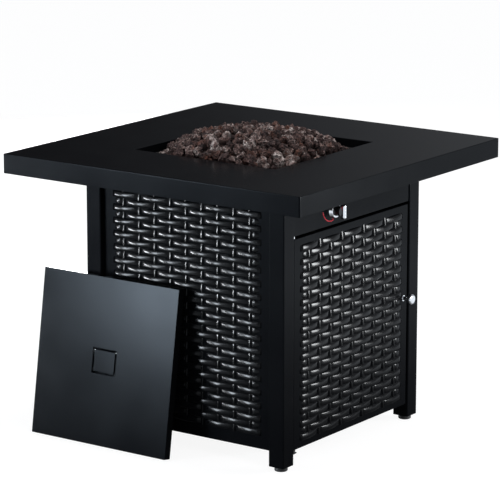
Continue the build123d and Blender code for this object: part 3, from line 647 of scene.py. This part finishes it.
# Floor, as the camera and as gloss see it: in gloss it has a painted blue tint, and a painted shade that
# darkens it near the table over the given distances
floor_half = 600.0
floor_grey = (0.22, 0.22, 0.22, 1)
floor_roughness = 0.9
floor_glow = 0.9
floor_white = (1, 1, 1, 1)
# Painted reflection tint: pale blue where gloss sees the floor, which is white to the camera
floor_painted_blue_in_gloss = (0.86, 0.93, 1, 1)
# Painted shade: in gloss the floor is at the least share near the table and fully bright past the far
# distance
painted_shade_full_within = 0.4
painted_shade_ends = 1.8
painted_shade_share = 0.05


def stage_floor():
    """A wide pale floor that shows white and keeps the table's shadow; in gloss it shows a painted blue
    tint and a painted shade near the table.
    """
    bm = bmesh.new()
    bmesh.ops.create_grid(bm, x_segments=1, y_segments=1, size=floor_half)
    mesh = mesh_of(bm, "floor")
    floor = bpy.data.objects.new("floor", mesh)
    scene.collection.objects.link(floor)
    material, tree, surface = new_material("pale_floor")
    surface.inputs["Base Color"].default_value = floor_grey
    surface.inputs["Roughness"].default_value = floor_roughness
    surface.inputs["Specular IOR Level"].default_value = 0.0
    ray = add_node(tree, "ShaderNodeLightPath").outputs
    place = add_node(tree, "ShaderNodeTexCoord").outputs["Object"]
    from_table = vector_maths(tree, "LENGTH", place)["Value"]
    # Painted shade: the floor's glow in gloss dims by distance from the table's middle
    painted_table_shade = spread(tree, from_table, painted_shade_full_within, painted_shade_ends, least=painted_shade_share, smooth=True)
    mirrored = maths(tree, "MULTIPLY", ray["Is Glossy Ray"], painted_table_shade)
    seen = maths(tree, "MAXIMUM", ray["Is Camera Ray"], mirrored)
    seen_or_through = maths(tree, "MAXIMUM", seen, ray["Is Transmission Ray"])
    glow = maths(tree, "MULTIPLY", seen_or_through, floor_glow)
    glow_color = blend_colors(tree, ray["Is Glossy Ray"], floor_white, floor_painted_blue_in_gloss)
    tree.links.new(glow_color, surface.inputs["Emission Color"])
    tree.links.new(glow, surface.inputs["Emission Strength"])
    mesh.materials.append(material)


# Light: softboxes that fade to their rims, in shares of their size, and a sky with one dark side
softbox_middle = (0.5, 0.5, 0)
softbox_rim = 0.5
softbox_full = 0.25
white_light = (1, 1, 1)
softboxes = (
    {
        "name": "top_softbox", "place": (-0.3, -0.2, 2.7), "aim": (0, 0, 0.6),
        "width": 0.9, "height": 0.9, "power": 62, "color": white_light,
    },
    {
        "name": "left_softbox", "place": (-2.7, 2.96, -0.06), "aim": (-0.25, -0.1, 0.3),
        "width": 0.6, "height": 0.8, "power": 330, "color": (0.92, 0.96, 1.0),
    },
    {
        "name": "right_softbox", "place": (1.3, -2.05, 0.42), "aim": (0, -0.25, 0.3),
        "width": 0.75, "height": 0.8, "power": 100, "color": (0.96, 0.98, 1.0),
    },
    {
        "name": "lid_softbox", "place": (-3.0, 1.92, 0.54), "aim": (-0.3, 0.1, 0.3),
        "width": 0.9, "height": 1.0, "power": 155, "color": (0.84, 0.92, 1.0),
    },
    {
        "name": "front_fill", "place": (-1.5, -3.0, 1.8), "aim": (0, 0, 0.35),
        "width": 1.5, "height": 1.5, "power": 45, "color": white_light,
    },
    {
        "name": "rear_softbox", "place": (2.4, 2.9, 0.25), "aim": (0.25, 0.25, 0.3),
        "width": 1.6, "height": 0.6, "power": 120, "color": white_light,
    },
)
sky_grey = (0.36, 0.375, 0.4, 1)
sky_dark = (0.02, 0.02, 0.022, 1)
dark_side = Vector((0.62, 0.76, 0.19)).normalized()
dark_from = 0.9
dark_full = 0.985


def add_softbox(name, place, aim, width, height, power, color):
    """A soft lamp that faces a point, brightest in its middle."""
    lamp = bpy.data.lights.new(name, "AREA")
    lamp.shape = "RECTANGLE"
    lamp.size = width
    lamp.size_y = height
    lamp.energy = power
    lamp.color = color
    lamp.use_nodes = True
    tree = lamp.node_tree
    spot = add_node(tree, "ShaderNodeNewGeometry").outputs["Parametric"]
    off_middle = vector_maths(tree, "DISTANCE", spot, softbox_middle)["Value"]
    fade = spread(tree, off_middle, softbox_rim, softbox_full, smooth=True)
    tree.links.new(fade, tree.nodes["Emission"].inputs["Strength"])
    box = bpy.data.objects.new(name, lamp)
    box.location = place
    box.rotation_euler = (Vector(aim) - Vector(place)).to_track_quat("-Z", "Y").to_euler()
    box.visible_camera = False
    scene.collection.objects.link(box)


def light_world():
    """Soft grey all round, with one dark side behind the table."""
    world = bpy.data.worlds.new("studio")
    scene.world = world
    world.use_nodes = True
    tree = world.node_tree
    way = add_node(tree, "ShaderNodeTexCoord").outputs["Generated"]
    toward = vector_maths(tree, "DOT_PRODUCT", way, dark_side)["Value"]
    dark_share = spread(tree, toward, dark_from, dark_full, smooth=True)
    sky = blend_colors(tree, dark_share, sky_grey, sky_dark)
    tree.links.new(sky, tree.nodes["Background"].inputs["Color"])


stage_floor()
light_world()
for softbox in softboxes:
    add_softbox(**softbox)

# Camera at the photograph's viewing angle
camera_place = (-4.9688, -3.5406, 1.8044)
camera_down = 13.02
camera_turn = -54.44
camera_sensor = 36
camera_lens = 208.75
camera_range = 1000

camera = bpy.data.objects.new("camera", bpy.data.cameras.new("camera"))
camera.location = camera_place
camera.rotation_euler = (radians(90 - camera_down), 0, radians(camera_turn))
camera.data.sensor_width = camera_sensor
camera.data.lens = camera_lens
camera.data.clip_end = camera_range
scene.collection.objects.link(camera)
scene.camera = camera
